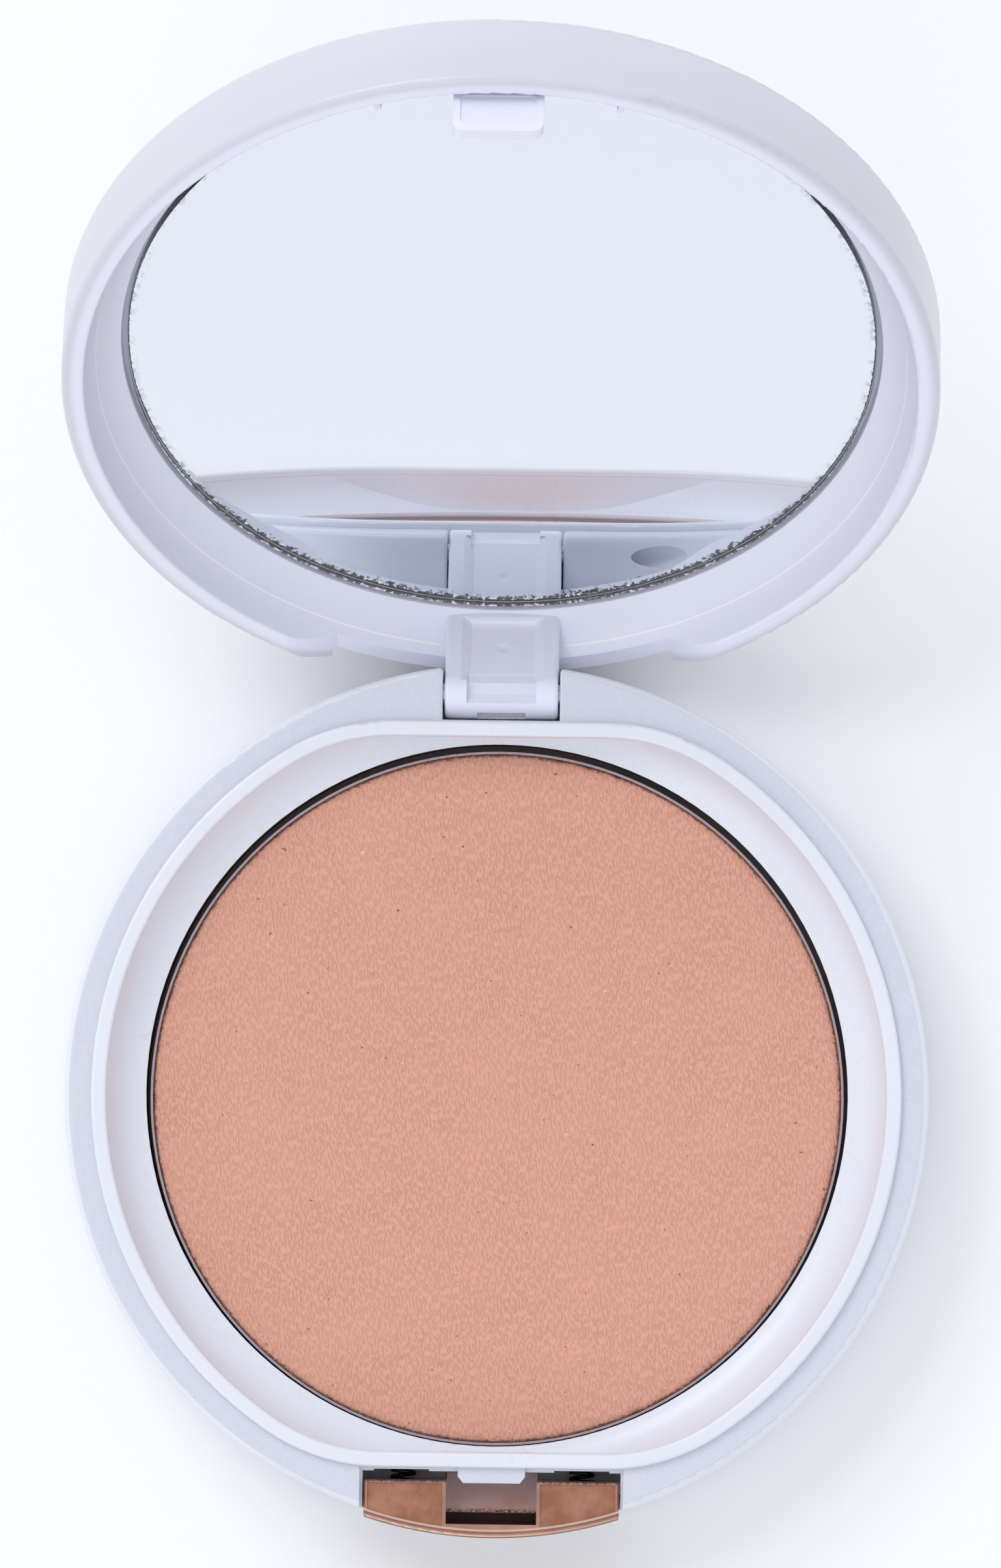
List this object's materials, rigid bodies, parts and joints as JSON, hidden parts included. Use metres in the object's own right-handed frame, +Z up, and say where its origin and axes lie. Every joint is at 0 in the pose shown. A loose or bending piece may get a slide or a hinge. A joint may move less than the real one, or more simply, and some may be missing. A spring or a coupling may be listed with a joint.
{
  "type": "powder compact",
  "caption": "Round pressed-powder compact with a push-button catch, a hinged lid standing open and a round mirror inside the lid.",
  "frame": {"origin": "middle of the flat underside of the base, on the surface the compact stands on", "axes": "+Z up out of the powder, +Y towards the hinge, so -Y points out through the push button; +X to the right seen from the button"},
  "size_m": [0.0734, 0.1254, 0.0607],
  "materials": {
    "white_base": "frosted, fine-grained white plastic with a blue tint",
    "white_lid": "smooth white plastic, faintly lilac outside",
    "rose_gold": "metallised rose-gold plastic, satin panels with bright edges",
    "pan_metal": "thin drawn metal pan",
    "powder": "pressed peach powder with a fabric-pressed surface",
    "steel": "bright drawn steel",
    "mirror_glass": "clear float glass",
    "silvering": "silver backing",
    "adhesive": "soft adhesive"
  },
  "bodies": {
    "base": {"base_shell": "white_base", "powder_pan": "pan_metal", "pressed_powder": "powder", "pan_adhesive": "adhesive", "button_springs": "steel", "hinge_pin": "steel"},
    "button": {"push_button": "rose_gold"},
    "lid": {"lid_shell": "white_lid", "mirror_glass": "mirror_glass", "mirror_silvering": "silvering", "mirror_adhesive": "adhesive"}
  },
  "joints": [
    {"name": "lid_hinge", "type": "hinge", "parent": "base", "child": "lid", "pos_m": [0, 0.03416, 0.00854], "axis": [-1, 0, 0], "range_deg": [-131.4, 0]},
    {"name": "button_press", "type": "slide", "parent": "base", "child": "button", "axis": [0, 1, 0], "range_m": [0, 0.0006], "stiffness_N_per_m": 2000}
  ]
}
